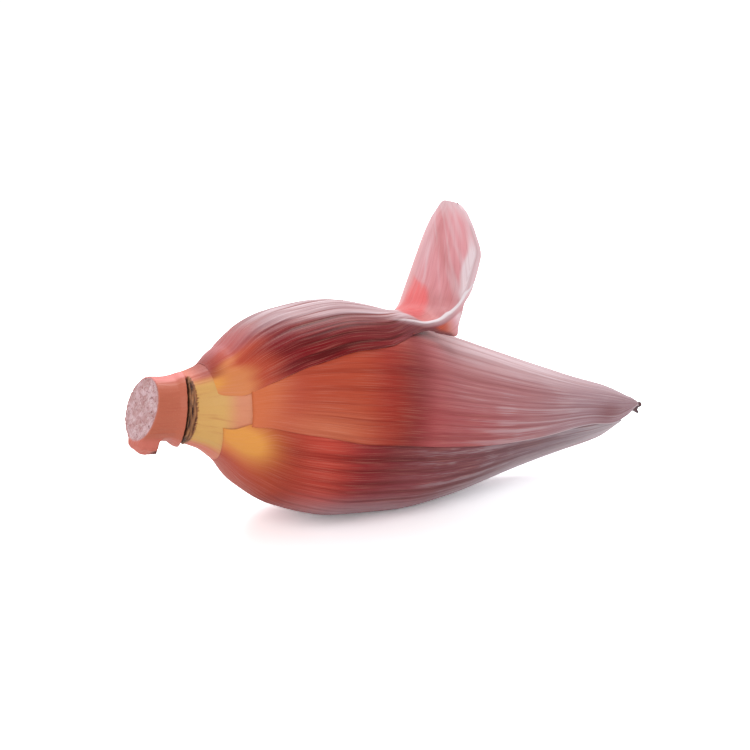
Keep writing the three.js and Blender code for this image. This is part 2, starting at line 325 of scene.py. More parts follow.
def ramp(*stops):
    """A colour that changes smoothly through the given (place, colour) stops."""
    channels = [curve(*[(x, colour[i]) for x, colour in stops]) for i in range(3)]
    return lambda x: Vector([channel(x) for channel in channels])


# %% [markdown]
# The front bract is orange at its thick base, then red, and mauve under its bloom; on top it is
# painted paler, for its bloom and for the light from above. The under bract is the darkest, with
# a yellow spot where it leaves the stem and a belly painted paler, partly for bloom and partly
# as the light it picks up from below. The back bract is mostly covered, so it only changes along
# its length.

# %% Tones and bloom of the closed bracts
front_along = ramp((40, ORANGE), (55, EMBER), (78, EMBER), (98, RED), (110, srgb(144, 50, 48)),
                   (124, srgb(172, 78, 80)), (154, MAUVE), (172, srgb(172, 97, 101)),
                   (190, srgb(172, 113, 118)), (235, LILAC))
under_along = ramp((34, ORANGE), (54, srgb(168, 60, 42)), (72, srgb(190, 68, 54)),
                   (92, srgb(140, 38, 40)), (112, srgb(122, 50, 54)), (150, srgb(126, 68, 74)),
                   (180, srgb(136, 100, 107)), (214, srgb(152, 130, 137)),
                   (250, srgb(184, 168, 174)))
back_along = ramp((42, ORANGE), (62, RED), (100, PLUM), (150, ROSE), (220, HEATHER))


def front_tone(s, theta):
    tone = front_along(s - 0.15 * theta)
    tone = tone.lerp(srgb(204, 114, 82), 0.75 * hump(theta, 1, 12) * hump(s, 68, 20))
    tone = tone.lerp(WINE, 0.7 * hump(theta, 37, 2) * hump(s, 113, 12))
    tone = tone.lerp(BLOOM, 0.13 * rise(8, 26, theta) * hump(s, 158, 34))
    # Paler on top: partly bloom and partly painted light from above.
    tone = tone.lerp(BLOOM, 0.75 * rise(32, 78, theta) * rise(118, 160, s)
                     * (1 - 0.6 * rise(200, 238, s)))
    return tone.lerp(PLUM, 0.6 * hump(s, 243, 11) * hump(theta, 8, 20))


def under_tone(s, theta):
    tone = under_along(s + 0.1 * (theta + 30))
    tone = tone.lerp(EMBER, rise(34, 52, -theta) * fade(50, 62, s))
    tone = tone.lerp(RED, 0.7 * hump(s, 57, 5) * hump(theta, -15, 8))
    # The belly is painted paler: partly bloom and partly the light it picks up from the table.
    tone = tone.lerp(srgb(216, 186, 194), 0.8 * rise(34, 66, -theta) * rise(54, 94, s))
    tone = tone.lerp(BLOOM, rise(24, 64, -theta) * rise(120, 190, s))
    # Painted light on the downward face.
    tone = tone.lerp(srgb(192, 96, 104), 0.3 * rise(12, 36, -theta) * hump(s, 116, 28))
    yellow = hump(s, 38, 10) * hump(theta, -18, 15)
    return tone.lerp(YELLOW, min(1.0, 1.5 * yellow))


def back_tone(s, theta):
    return back_along(s)


def front_wax(s, theta):
    return 0.9 * rise(112, 180, s) + 0.2 * rise(50, 90, theta)


def under_wax(s, theta):
    down = -theta - 20
    return rise(98, 142, s) * mix(0.45, 1, rise(0, 50, down)) + 0.4 * rise(25, 50, down)


def back_wax(s, theta):
    return 0.5 + 0.4 * rise(60, 160, s)


# %% [markdown]
# ## From a grid to a bract
# Each bract starts as a flat grid from `create_grid`. Its vertices are moved to where the
# bract's skin is, and a Solidify modifier then gives it its flesh inwards, thinner where a
# vertex group says so. Lofting a few profile curves would be the other way, but a grid
# carries its UV map and attributes from the start.

# %% Grid pieces
UV_STEP = 100  # millimetres to one unit of a UV map
FAR_FROM_HIGHLIGHT = 99.0  # too far from a painted highlight line to show
Skin = namedtuple("Skin", "point thick tone wax rib uv raised rubbed", defaults=(0.0, FAR_FROM_HIGHLIGHT))
THICK_GROUP = "thickness"


def grid_mesh(rows, columns, skin, closed=False):
    """A grid with every vertex where skin(u, v) says, u along the piece and v across it.

    A closed grid is rolled up, and its seam and poles are merged.
    """
    bm = bmesh.new()
    uv_layer = bm.loops.layers.uv.new("UVMap")
    tone_layer = bm.verts.layers.float_color.new("tone")
    for name in ("wax", "rib", "rubbed"):
        bm.verts.layers.float.new(name)
    group = bm.verts.layers.deform.verify()
    bmesh.ops.create_grid(bm, x_segments=rows, y_segments=columns, size=1)
    bm.verts.index_update()
    skins = []
    for vert in bm.verts:
        made = skin((vert.co.x + 1) / 2, (vert.co.y + 1) / 2)
        skins.append(made)
        vert.co = made.point
        vert[tone_layer] = (*made.tone, 1)
        for layer in bm.verts.layers.float.values():
            vert[layer] = getattr(made, layer.name)
        vert[group][0] = made.thick / BRACT_THICKNESS
    for face in bm.faces:
        face.smooth = True
        for loop in face.loops:
            loop[uv_layer].uv = [c / UV_STEP for c in skins[loop.vert.index].uv]
    if any(made.raised for made in skins):
        bm.normal_update()
        for vert, made in zip(bm.verts, skins):
            vert.co += vert.normal * made.raised * MM
            vert.co.z = max(vert.co.z, 0)
    if closed:
        bmesh.ops.remove_doubles(bm, verts=bm.verts, dist=1e-6)
        bmesh.ops.recalc_face_normals(bm, faces=bm.faces)
    return bm


# %% Pieces and their flesh
def linked(name, data):
    made = bpy.data.objects.new(name, data)
    bpy.context.collection.objects.link(made)
    return made


def mesh_object(name, bm, materials):
    mesh = bpy.data.meshes.new(name)
    bm.to_mesh(mesh)
    bm.free()
    for material in materials:
        mesh.materials.append(material)
    print(f"{name}: {len(mesh.polygons)} faces")
    return linked(name, mesh)


def finished(name, bm, materials, replaces=()):
    """Turns a bmesh into a piece of the blossom that rides on the CAD body."""
    piece = mesh_object(name, bm, materials)
    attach(piece, "root")
    if replaces:
        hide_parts(*replaces)
    return piece


def flesh(piece):
    """Gives a skin its thickness, inwards, with its own inner face and margin."""
    piece.vertex_groups.new(name=THICK_GROUP)
    solid = piece.modifiers.new("flesh", "SOLIDIFY")
    solid.thickness = BRACT_THICKNESS * MM
    solid.offset = -1
    solid.vertex_group = THICK_GROUP
    solid.thickness_vertex_group = 0
    solid.material_offset = 1
    solid.material_offset_rim = 2


# %% [markdown]
# ## Shader maths
# A material is easier to read as formulas than as a web of nodes. `Value` wraps one output
# socket, and Python's operators on it add Math nodes. Everything else goes through
# `Nodes.node`, which takes a node's type, its settings and what goes into its sockets.

# %% Values
class Value:
    def __init__(self, nodes, socket):
        self.nodes = nodes
        self.socket = socket

    def _math(self, operation, a, b):
        return self.nodes.node("ShaderNodeMath", {"operation": operation}, {0: a, 1: b})

    def __add__(self, other):
        return self._math("ADD", self, other)

    __radd__ = __add__

    def __sub__(self, other):
        return self._math("SUBTRACT", self, other)

    def __rsub__(self, other):
        return self._math("SUBTRACT", other, self)

    def __mul__(self, other):
        return self._math("MULTIPLY", self, other)

    __rmul__ = __mul__

    def __abs__(self):
        return self._math("ABSOLUTE", self, 0.0)


# %% Nodes of a material or a world
WHITE = (1, 1, 1, 1)


class Nodes:
    """A cleared node tree, whose output node takes a surface."""

    def __init__(self, owner, output_kind):
        owner.use_nodes = True
        self.tree = owner.node_tree
        self.tree.nodes.clear()
        self.surface = self.tree.nodes.new(output_kind).inputs["Surface"]

    def put(self, socket, value):
        if isinstance(value, Value):
            self.tree.links.new(value.socket, socket)
        elif isinstance(value, Vector) and socket.type == "RGBA":
            socket.default_value = (*value, 1)
        else:
            socket.default_value = value

    def node(self, kind, settings=None, inputs=None, output=0):
        made = self.tree.nodes.new(kind)
        for key, value in (settings or {}).items():
            setattr(made, key, value)
        for key, value in (inputs or {}).items():
            self.put(made.inputs[key], value)
        return Value(self, made.outputs[output])


# %% [markdown]
# A finish is one material: a Principled shader and the patterns that feed it. Patterns are
# worked out in millimetres, so they keep their size on every piece.

# %% Finishes
class Finish(Nodes):
    def __init__(self, name):
        self.material = bpy.data.materials.new(name)
        super().__init__(self.material, "ShaderNodeOutputMaterial")
        self.shader = self.node("ShaderNodeBsdfPrincipled")
        self.put(self.surface, self.shader)

    def set(self, **values):
        """Sets or links the shader's sockets, _ for a space, and gives the material."""
        sockets = self.shader.socket.node.inputs
        for key, value in values.items():
            self.put(sockets[key.replace("_", " ")], value)
        return self.material

    def attribute(self, name, output="Fac"):
        return self.node("ShaderNodeAttribute", {"attribute_name": name}, output=output)

    def blend(self, a, b, factor, blend_type="MIX"):
        settings = {"data_type": "RGBA", "blend_type": blend_type}
        return self.node("ShaderNodeMix", settings, {0: factor, 6: a, 7: b}, output=2)

    def step(self, value, start, end):
        """0 below start, 1 above end, with a soft step between."""
        settings = {"interpolation_type": "SMOOTHSTEP"}
        return self.node("ShaderNodeMapRange", settings, {0: value, 1: start, 2: end})

    def noise(self, x, y, z, detail=2.0):
        at = self.node("ShaderNodeCombineXYZ", None, {0: x, 1: y, 2: z})
        inputs = {"Vector": at, "Scale": 1.0, "Detail": detail}
        return self.node("ShaderNodeTexNoise", None, inputs)

    def solid_noise(self, per_mm, seed):
        """Noise through the solid, from the object's own coordinates."""
        place_in = self.node("ShaderNodeTexCoord", output="Object")
        inputs = {"Vector": place_in, "W": seed, "Scale": per_mm / MM, "Detail": 2.0}
        return self.node("ShaderNodeTexNoise", {"noise_dimensions": "4D"}, inputs)

    def along_and_across(self):
        """The UV map's coordinates, in millimetres: along the piece, then across it."""
        uv = self.node("ShaderNodeUVMap", {"uv_map": "UVMap"})
        along = self.node("ShaderNodeSeparateXYZ", None, {0: uv}, output="Y")
        across = self.node("ShaderNodeSeparateXYZ", None, {0: uv}, output="X")
        return along * UV_STEP, across * UV_STEP

    def bump(self, height, strength, distance):
        inputs = {"Height": height, "Strength": strength, "Distance": distance}
        return self.node("ShaderNodeBump", None, inputs, output="Normal")


# %% [markdown]
# ## The skin of a bract
# A bract's outside is leathery and half glossy. Fine veins run along it, some darker and some
# paler than the skin between, and the bloom lies on it in short strokes, as if brushed. All of
# these are noise in UV space, squeezed across and stretched along.

# %% Bract skin
def bract_skin(name, stroke_length, stroke_width, brushed=0.5, grooves=0.5,
               crest_start=160, highlight_strength=0.4, calm=400.0):
    """Bloom in strokes over grooves, which are darkened as painted shade. Along the bract, from
    `calm` on its veins and grooves are faint, and from `crest_start` on a highlight is painted
    pale along its crest or margin."""
    skin = Finish(name)
    along, across = skin.along_and_across()
    tone = skin.attribute("tone", "Color")
    wax = skin.attribute("wax")
    rib = skin.attribute("rib")

    vein = skin.noise(across * 0.7, along * 0.016, 1.0)
    hair = skin.noise(across * 2.2, along * 0.05, 9.0)
    stroke = skin.noise(across * (1 / stroke_width), along * (1 / stroke_length), 3.0)
    cloud = skin.noise(across * 0.05, along * 0.04, 7.0)
    grain = skin.noise(across * 3.0, along * 3.0, 2.0)

    grown = skin.step(along, 40.0, 80.0) * (1 - skin.step(along, calm, calm + 14.0) * 0.7)
    # Darker along the veins, which is their own colour, and in the grooves between ribs, which is
    # painted shade.
    dark = skin.step(vein, 0.5, 0.66) * (0.08 + 0.4 * grooves)
    dark = (dark + skin.step(rib, 0.05, -0.6) * grooves) * grown
    colour = skin.blend(tone, srgb(176, 104, 100), dark, "MULTIPLY")
    fair = skin.step(hair + grain * 0.3, 0.62, 0.9) * 0.2
    colour = skin.blend(colour, srgb(232, 160, 140), fair)
    brush = skin.step(rib * 0.2 + stroke + cloud * 0.5, 0.78, 1.0)
    bloom = brush * wax * brushed + wax * 0.04
    colour = skin.blend(colour, BLOOM, bloom)
    # A highlight painted pale along the crest or margin.
    rubbed = skin.step(abs(skin.attribute("rubbed")), 0.65, 0.1)
    rubbed = rubbed * skin.step(along, crest_start, crest_start + 25.0)
    colour = skin.blend(colour, srgb(242, 230, 234), rubbed * highlight_strength)

    height = vein * -0.5 + hair * 0.3 + grain * 0.15
    return skin.set(Base_Color=colour, Roughness=wax * 0.12 + 0.42, Specular_IOR_Level=0.15,
                    Normal=skin.bump(height, 0.3, 0.0005))


# %% [markdown]
# The inside of a bract is satin, salmon to red and without bloom. Its thin edge has the tone
# of the outside, but is dry and worn pale in places.

# %% Inside and margin of a bract
def inner_skin():
    skin = Finish("bract_inside")
    along, across = skin.along_and_across()
    fine = skin.noise(across * 0.9, along * 0.02, 2.0)
    colour = skin.blend(srgb(214, 108, 92), srgb(170, 60, 56), skin.step(fine, 0.35, 0.7))
    return skin.set(Base_Color=colour, Roughness=0.5, Normal=skin.bump(fine, 0.2, 0.0004))


def margin_skin():
    skin = Finish("bract_margin")
    along, across = skin.along_and_across()
    worn = skin.noise(across * 0.4, along * 0.2, 4.0)
    tone = skin.attribute("tone", "Color")
    colour = skin.blend(tone, srgb(206, 150, 140), skin.step(worn, 0.35, 0.75) * 0.35)
    return skin.set(Base_Color=colour, Roughness=0.6)


inner = inner_skin()
margin = margin_skin()
print("made", inner.name, "and", margin.name)

# %% [markdown]
# ## The three closed bracts
# They hug the bud. Where a bract's margin lies on the one beneath, it is pressed down onto it
# with hardly a gap. The base of the under bract swells into a soft yellow cushion where it
# leaves the stem.

# %% Closed bracts
Look = namedtuple("Look", "tone wax rib_height strokes")

LOOKS = {
    "back_bract": Look(back_tone, back_wax, 0.2, (30, 1.0)),
    "under_bract": Look(under_tone, under_wax, 0.13, (12, 0.5)),
    "front_bract": Look(front_tone, front_wax, 0.13, (40, 0.5, 0.34, 0.3)),
}
VEIN_WIDTH = 140  # across a bract where it is widest
CLOSED_GRID = (210, 150)


def cushion(s, theta):
    return 1.6 * hump(s, 38, 7) * hump(theta, -18, 13)


def closed_skin(layer):
    bract = CLOSED[layer]
    look = LOOKS[bract.name]

    def skin(u, v):
        side = 2 * v - 1
        start = bract.base(side * half_angle(bract, bract.tip - TIP_ROUNDING, side))
        s = mix(start, bract.tip, u)
        theta = bract.middle + side * half_angle(bract, s, side)
        angle = wrap(theta)
        edge = max(0, from_margin(bract, s, theta))
        share = rise(0, BASE_GROWTH, s - start)
        thick = thickness(edge) * mix(BASE_THICKNESS, 1, share)
        tuck = TUCK * fade(0, 5, edge) * share * (1 - 0.8 * rise(150, 190, s))
        rib = ribs(v * VEIN_WIDTH, s, layer * 11.0, 3.4, 1.6)
        relief = look.rib_height * rib * rise(0, 40, s - start) * rise(0, 3, edge)
        r = seat(layer, s, theta) - tuck + thick + relief
        if bract.name == "under_bract":
            r += cushion(s, angle)
        # The distance from the margin goes last: a highlight is painted pale along it.
        return Skin(place(s, theta, r), thick, look.tone(s, angle), look.wax(s, angle), rib,
                    (v * VEIN_WIDTH, s), rubbed=edge)

    return skin


for layer, bract in enumerate(CLOSED):
    bm = grid_mesh(*CLOSED_GRID, closed_skin(layer))
    outer = bract_skin(bract.name + "_outside", *LOOKS[bract.name].strokes)
    flesh(finished(bract.name + "_skin", bm, [outer, inner, margin],
                   replaces=[bract.name]))

# %% [markdown]
# ## The lifted bract
# The top bract hugs the bud from its base to about halfway, then it is free: its end bends up
# across the bud and stands as a blade. A strip along its front edge folds back over a crisp
# ridge, and at the bend the margin hangs down as a flap. The sheet is built as if it lay
# straight and is then bent round a short cylinder, as a paper strip is drawn over an edge.
# `w` is the distance in millimetres from its midrib, negative towards the front.

# %% Sizes of the lifted bract
BEND_AT = 131
BEND_OBLIQUE = radians(-8)
BEND_RADIUS = 9
BEND_ANGLE = radians(75)
BLADE_END = 191
RIDGE_FOLD = radians(60)
FLAP_FOLD = radians(25)
FOLD_STEPS = 60
CREST_HEIGHT = 45  # of the midrib above the axis at the bend
REAR_CURVE = 45  # radii of the sheet behind and before its midrib
FRONT_CURVE = 120
LIFTED_START = 27

blade_front = curve((24, 19), (30, 26.5), (40, 38.5), (50, 45), (60, 47.2), (72, 48),
                    (90, 46.5), (104, 43), (118, 34), (130, 26.5), (142, 25), (154, 29.2),
                    (168, 28.2), (180, 19), (187, 10.5), (BLADE_END, 4.5))
blade_rear = curve((24, 19), (38, 29), (51, 46), (69, 50), (90, 48), (112, 40), (130, 31),
                   (150, 29), (166, 27), (180, 20), (BLADE_END, 12))
strip_width = curve((90, 20), (104, 16), (114, 11.5), (121, 7), (127, 4), (134, 3.2), (138, 2),
                    (146, 0.8), (152, 2.2), (160, 2.6), (BLADE_END, 1.5))
flap_width = curve((130, 0), (133, 1.0), (136, 3.8), (138, 7.2), (139.5, 9.6), (140.5, 6.8),
                   (141.3, 5.2), (143, 3.5), (146, 1.3), (149, 0.6), (153, 0))
sag = curve((118, 0), (130, 2), (134, 1.6), (140, 0))
dip = curve((88, -0.9), (96, -0.9), (119, 1.3), (132, 0.3), (140, 0))
flap_fold_at = curve((112, 8), (124, 3.4), (150, 3.4))


def lifted_front(s):
    return blade_front(s) + flap_width(s)


def ridge_at(s):
    return strip_width(s) - blade_front(s)


print("width at the bend:", round(lifted_front(BEND_AT) + blade_rear(BEND_AT)), "mm")


# %% [markdown]
# Seen along the axis, the freed sheet is a shallow arc that is folded twice at its front: at
# the ridge, and for the flap again beside it. Walking from the midrib in small steps and
# turning a little at each gives that arc and its folds at once, and keeps the sheet's width.

# %% Folding and bending the freed sheet
def across_blade(w, s):
    """Where the sheet is before it is bent up: sideways, then upwards."""
    ridge = ridge_at(s)
    flap = ridge - flap_fold_at(s)
    y = z = 0.0
    for i in range(FOLD_STEPS):
        at = w * (i + 0.5) / FOLD_STEPS
        arc = at / (FRONT_CURVE if at < 0 else REAR_CURVE)
        fold = RIDGE_FOLD * mix(1, 1.35, rise(138, 158, s))
        fold *= fade(ridge - 0.7, ridge + 0.7, at)
        fold += FLAP_FOLD * rise(114, 124, s) * fade(flap - 1.5, flap + 1.5, at)
        y += w / FOLD_STEPS * cos(arc - fold)
        z -= w / FOLD_STEPS * sin(arc - fold)
    return y, CREST_HEIGHT + z - sag(s) * rise(8, 22, -w) - dip(s) * rise(-18, -4, w)


def bend_up(s, y, z):
    """The same point once the sheet is drawn over the bend."""
    past = (s - BEND_AT - tan(BEND_OBLIQUE) * y) * cos(BEND_OBLIQUE)
    if past <= 0:
        return s, y, z
    turn = min(past / BEND_RADIUS, BEND_ANGLE)
    beyond = past - turn * BEND_RADIUS
    arm = BEND_RADIUS + CREST_HEIGHT - z
    shift = arm * sin(turn) + beyond * cos(turn) - past
    height = CREST_HEIGHT + BEND_RADIUS - arm * cos(turn) + beyond * sin(turn)
    return s + shift * cos(BEND_OBLIQUE), y - shift * sin(BEND_OBLIQUE), height


# %% [markdown]
# Nearer its base the same sheet still hugs the closed bracts. Between the two it passes from
# one shape to the other, and wherever it would sink into the bud it is moved out again.

# %% Where the lifted bract lies
def lifted_base(w):
    """The base line, rounded off towards both of its corners."""
    return LIFTED_START + 11 * (w / 40) ** 4


def around_at(s, w):
    return MIDRIB + degrees(w / envelope(s))


def lifted_edge(w, s):
    """Distance from the bract's margin."""
    return min(w + lifted_front(s), blade_rear(s) - w, BLADE_END - s)


def lifted_seat(s, theta, edge):
    resting = seat(len(CLOSED), s, theta)
    puffed = envelope(s) - BRACT_THICKNESS
    return mix(resting, max(resting, puffed), rise(0, THINNING, edge))


def lifted_point(s, w):
    """A point of the inner face, and how far it had to move out of the bud beneath."""
    theta = around_at(s, w)
    edge = max(0, lifted_edge(w, s))
    hug = lifted_seat(s, theta, min(edge, s - lifted_base(w)))
    around = radians(theta - MIDRIB)
    freed = rise(94, BEND_AT + 4, s)
    free_y, free_z = across_blade(w, s)
    along, y, z = bend_up(s, mix(hug * sin(around), free_y, freed),
                          mix(hug * cos(around), free_z, freed))
    middle = radians(MIDRIB)
    side = -z * cos(middle) + y * sin(middle)
    height = z * sin(middle) + y * cos(middle) + bow(s) * (1 - freed)
    return keep_clear(along, side, height)


def keep_clear(s, y, z):
    """A point that would sink into the bracts beneath is moved out to their surface."""
    if s > LENGTH:
        return world(s, y, z), 0
    up = z - bow(s)
    theta = degrees(atan2(up, -y))
    sunk = seat(len(CLOSED), s, theta) - GAP / 2 - hypot(y, up)
    if sunk <= 0:
        return world(s, y, z), 0
    return place(s, theta, hypot(y, up) + sunk), sunk


# %% [markdown]
# Its colours change twice: orange at the base and dark wine beside the front margin, partly its
# own colour where it is thick and partly painted shade; pale mauve on top, partly bloom and
# partly painted light from above; then clear salmon and pink on the blade, painted as the light
# that comes through it. The ridge is painted nearly white as a highlight, and the blade's
# streaks lean away from it. On the blade, `up` is the height over the bend and `behind` the
# distance behind the ridge.

# %% Ramps of the lifted bract
valley = curve((8, 0), (18, 4.5), (24, 8), (30, 14), (36, 21), (42, 24), (50, 18), (60, 14))
top_bloom_and_light = curve((50, 0), (56, 0.015), (62, 0.02), (66, 0.04), (70, 0.11), (73, 0.34), (77, 0.46),
             (83, 0.33), (88, 0.58), (93, 0.68), (98, 0.42), (112, 0.34))
salmon = ramp((-8, srgb(208, 100, 102)), (6, srgb(216, 105, 107)), (13, SALMON))
salmon_from = curve((-8, 3), (-2, 5), (4, 11), (8, 15), (13, 18.5), (18, 26), (23, 42))
rose = ramp((-6, srgb(212, 126, 124)), (0, srgb(206, 124, 124)), (8, srgb(194, 122, 126)),
            (13, srgb(208, 142, 146)), (20, PINK))
band_width = curve((14, 0), (20, 2.8), (30, 5.5), (44, 4))
bend_line = curve((0, 126.5), (8, 120.5), (14, 121.5), (24, 127))
strip_along = ramp((118, srgb(126, 62, 68)), (128, srgb(134, 74, 79)), (134, srgb(156, 96, 102)),
                   (138, srgb(180, 122, 127)), (144, srgb(216, 156, 162)),
                   (152, srgb(244, 204, 210)))
flap_along = ramp((130, srgb(132, 66, 70)), (134, srgb(152, 70, 64)), (135.5, srgb(190, 84, 64)),
                  (137, srgb(196, 98, 82)), (138.5, srgb(214, 140, 134)),
                  (140, srgb(232, 168, 174)), (142, srgb(244, 210, 216)),
                  (144, srgb(248, 226, 230)))


# %% Tone of the blade
def blade_drift(up, behind):
    """How far the blade's streaks lean away from its ridge."""
    return 0.8 * min(max(up, 0), 40) * fade(14, 44, behind) * rise(-1, 1, behind)


def blade_tone(up, behind):
    at = behind - blade_drift(up, behind)
    streak = lumps(at / 3.6, up / 40, 31.0)
    patch = lumps(at / 8, up / 14, 12.0)
    low = rise(-4, 4, behind - salmon_from(up) + 3 * patch)
    # The blade's salmon and pink are painted as the light that comes through it. Near the bend
    # both are painted darker, to hold back the light on the upturned crease.
    tone = rose(up).lerp(salmon(up), low)
    tone = tone.lerp(srgb(240, 172, 174), 0.9 * rise(32, 38, behind - 0.15 * up))
    # Painted shade in the hollow behind the ridge.
    tone = tone.lerp(SEPIA, 0.75 * hump(behind, valley(up), 5) * rise(10, 15, up))
    # A pale band along the ridge that widens higher up: a painted highlight.
    band = fade(-1.3, 1.3, behind - band_width(up)) * fade(38, 48, up)
    tone = tone.lerp(srgb(238, 220, 225), 0.95 * band * rise(14, 18, up))
    tone = tone.lerp(BLOOM, 0.25 * fade(1, 5, behind) * rise(30, 40, up))
    tone = tone.lerp(BLOOM, 0.55 * rise(50, 60, up) + 0.3 * rise(34, 48, behind + 0.3 * up))
    tone = tone.lerp(BLOOM, 0.6 * max(0, streak + 0.5 * patch) * rise(8, 24, up))
    return tone.lerp(SEPIA, max(0, -0.4 * streak) * rise(10, 20, up) * rise(2, 8, behind))


# %% Tone and bloom of the whole lifted bract
def lifted_tone(s, w):
    angle = around_at(s, w)
    behind = w - ridge_at(s)
    wave = 3 * lumps(angle / 9, s / 40, 17.0)
    late = 7 * fade(56, 78, s)
    # Dark wine low down, partly its own colour and partly painted shade; pale on top, partly
    # bloom and partly painted light from above.
    pale = top_bloom_and_light(angle + wave - late) * mix(0.55, 1, rise(46, 62, s))
    tone = WINE.lerp(BLOOM, pale + 0.2 * rise(90, 112, s) * rise(69, 77, angle))
    dusk = s + wave + 4.5 * rise(46, 56, angle)
    root = TAN.lerp(srgb(182, 80, 66), rise(62, 74, angle))
    root = root.lerp(srgb(184, 104, 106), rise(80, 96, angle))
    # Painted shade along the base seam.
    root = root.lerp(srgb(140, 44, 36), 0.85 * rise(48, 56, angle) * fade(27, 35, s))
    warm = EMBER.lerp(srgb(176, 92, 92), rise(64, 78, angle))
    tone = root.lerp(warm, rise(38, 46, dusk)).lerp(tone, rise(43, 58, dusk))
    tone = tone.lerp(YELLOW, min(1, 1.2 * hump(s, 27, 4.5) * hump(angle, 44, 9)))
    blade = rise(-2, 2, s - bend_line(behind))
    tone = tone.lerp(blade_tone(s - BEND_AT, behind), blade * rise(-0.4, 0.4, behind))
    # A painted highlight on the strip just in front of the ridge.
    strip = strip_along(s).lerp(srgb(222, 194, 200), 0.5 * fade(0.4, 2.6, -behind))
    tone = tone.lerp(strip, rise(108, 124, s) * fade(-0.4, 0.4, behind))
    # The hanging flap is painted orange where it is in shade and pale lilac where light comes
    # through it, and darker towards its margin as the shadow where it meets the bud.
    hanging = rise(120, 126, s) * fade(142, 145, s) * rise(1.9, 2.9, -behind)
    hem = w + lifted_front(s)
    shaded = flap_along(s).lerp(srgb(120, 66, 70), fade(0.4, 3.0, hem)
                                * fade(138, 139.5, s))
    return tone.lerp(shaded, hanging)


def lifted_wax(s, w):
    angle = around_at(s, w)
    wax = 0.08 * rise(54, 62, angle) * rise(58, 80, s) + 0.92 * rise(68, 80, angle)
    wax *= 1 - 0.35 * hump(angle, 84, 4) * fade(90, 105, s)
    return wax * rise(44, 70, s) * fade(114, 128, s)


# %% [markdown]
# The grid follows the folds: a third of its columns lie on the strip in front of the ridge,
# and its rows are closest at the bend.

# %% Build the lifted bract
STRIP_SHARE = 1 / 3
LIFTED_WIDTH = 98
LIFTED_GRID = (260, 170)
CORNER_ROUNDING = 2.5
lifted_row = curve((0, LIFTED_START), (0.36, 118), (0.76, 152), (1, BLADE_END))


def lifted_across(s, v):
    if v < STRIP_SHARE:
        return mix(-lifted_front(s), ridge_at(s), v / STRIP_SHARE)
    return mix(ridge_at(s), blade_rear(s), (v - STRIP_SHARE) / (1 - STRIP_SHARE))


def lifted_skin(u, v):
    row = lifted_row(u)
    w = lifted_across(row, v)
    late = (lifted_base(w) - LIFTED_START) * fade(LIFTED_START, 60, row)
    corner = abs(2 * (w + lifted_front(row)) / (lifted_front(row) + blade_rear(row)) - 1) ** 6
    s = row + late - CORNER_ROUNDING * corner * rise(170, BLADE_END, row)
    w = lifted_across(s, v)
    edge = max(0, lifted_edge(w, s))
    share = rise(0, BASE_GROWTH, s - lifted_base(w))
    thick = thickness(edge) * mix(BASE_THICKNESS, 1, share)
    across = (w + blade_front(s)) / (blade_front(s) + blade_rear(s)) * LIFTED_WIDTH
    blade = rise(108, 130, s)
    rib = ribs(across, s, 40.0, 2.7, 1.5) * (1 - blade) + ribs(across, s, 50.0, 7, 3) * blade
    height = mix(mix(0.15, 0.55, rise(63, 76, around_at(s, w))), 0.1, blade)
    relief = height * rib * rise(0, 30, s - LIFTED_START) * rise(0, 3, edge)
    raised = thick + relief - TUCK * fade(0, 5, edge) * share * fade(94, 120, s)
    point, pushed = lifted_point(s, w)
    thin = 1 - 0.9 * rise(0, 0.8, pushed)
    behind = w - ridge_at(s)
    across -= blade_drift(s - BEND_AT, behind)
    # The distance behind the ridge goes last: a highlight is painted pale along the ridge.
    return Skin(point, thick * thin, lifted_tone(s, w), lifted_wax(s, w), rib * (1 - 0.8 * blade),
                (across, s), raised * thin, behind + 4 * rise(150, 162, s))


bm = grid_mesh(*LIFTED_GRID, lifted_skin)
lifted_outside = bract_skin("lifted_bract_outside", 60, 0.9, brushed=0.9, grooves=1.0,
                            crest_start=104, highlight_strength=0.95, calm=122.0)
flesh(finished("lifted_bract_skin", bm, [lifted_outside, inner, margin],
               replaces=["lifted_bract"]))

# %% [markdown]
# ## The stem
# The cut stem is turned like a bottle: a path runs from the middle of the cut face over its
# rim, down the side and in again under the bracts, and goes once round the axis. What isn't
# round is added on the way: the slant of the cut, the stub of a side bract, the collar left
# by older bracts with its open slit, and the torn brown fibres in it. The `spin` operator
# would turn the same path, but a grid rolled up and closed keeps its UV map and attributes.

# %% Path of the stem
CUT_TILT = tan(radians(13))
CUT_TURN = tan(radians(4))
STEM_SIDES = 200
face_path = [(0.0, i / 34) for i in range(34)]
side_path = [(0.12 + i * 0.3, 1.0) for i in range(112)] + [(34 + i, 1.0) for i in range(13)]
end_path = [(BUD_START, 0.6), (BUD_START, 0.0)]
stem_path = face_path + side_path + end_path
print("points on the path:", len(stem_path))


# %% Collar, slit, fibres and stub
SLIT_REACH = 76  # to either side of the front
STUB_AT = -80


def slit_at(theta):
    """Where the open slit of the collar is, nearest to the cut at the front."""
    return 15.2 + 2.0 * min(1, abs(wrap(theta)) / SLIT_REACH) ** 2


def fibre_band(theta):
    """Width of the torn fibres beside the slit, widest at the front."""
    return 4.2 * max(0, 1 - (wrap(theta) / SLIT_REACH) ** 2) ** 0.5


def strands(s, theta):
    """Fibres that run round the stem beside the slit, 0 to 1."""
    return 0.45 + 1.3 * lumps(theta * 0.05, s * 2.0, 4.0)


